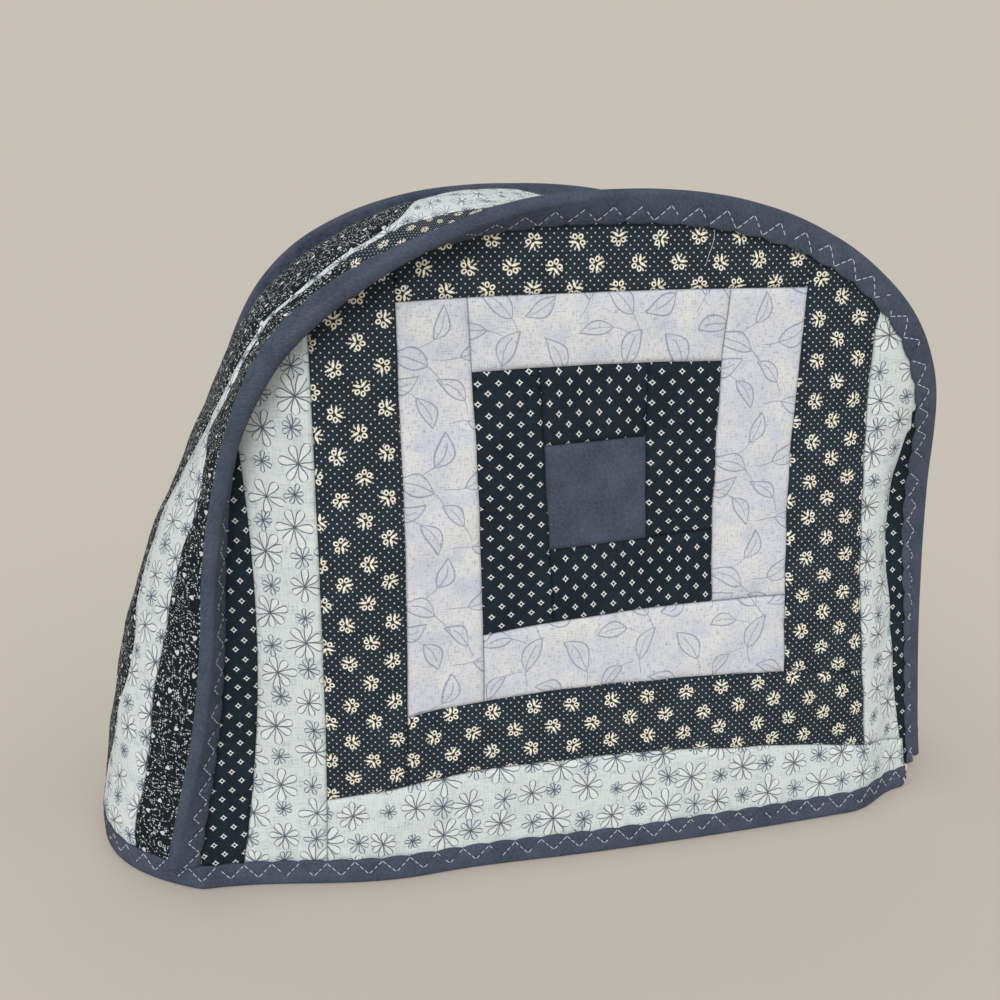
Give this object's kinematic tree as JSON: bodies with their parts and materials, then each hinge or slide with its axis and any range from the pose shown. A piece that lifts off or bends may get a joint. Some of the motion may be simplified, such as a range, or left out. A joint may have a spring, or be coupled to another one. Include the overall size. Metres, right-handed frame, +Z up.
{
  "type": "toaster cover",
  "caption": "Quilted toaster cover: arched patchwork front and back panels joined by a wide gusset, seams and hem bound in folded cotton tape, open underneath.",
  "frame": {"origin": "middle of the footprint, on the surface that the hem rests on", "axes": "+X to the right along the front panel, +Y from the front panel towards the back panel, +Z up"},
  "size_m": [0.363, 0.1761, 0.2495],
  "materials": {
    "panel_patchwork": "printed quilting cotton in navy, slate blue and pale lavender, matte plain weave",
    "gusset_patchwork": "three lengthwise strips of printed quilting cotton, dark, pale, dark, matte plain weave",
    "binding_cotton": "plain slate-blue cotton tape with zigzag stitching in light grey thread"
  },
  "bodies": {
    "root": {"front_panel": "panel_patchwork", "back_panel": "panel_patchwork", "gusset": "gusset_patchwork", "front_seam_binding": "binding_cotton", "back_seam_binding": "binding_cotton", "hem_binding": "binding_cotton"}
  },
  "joints": []
}
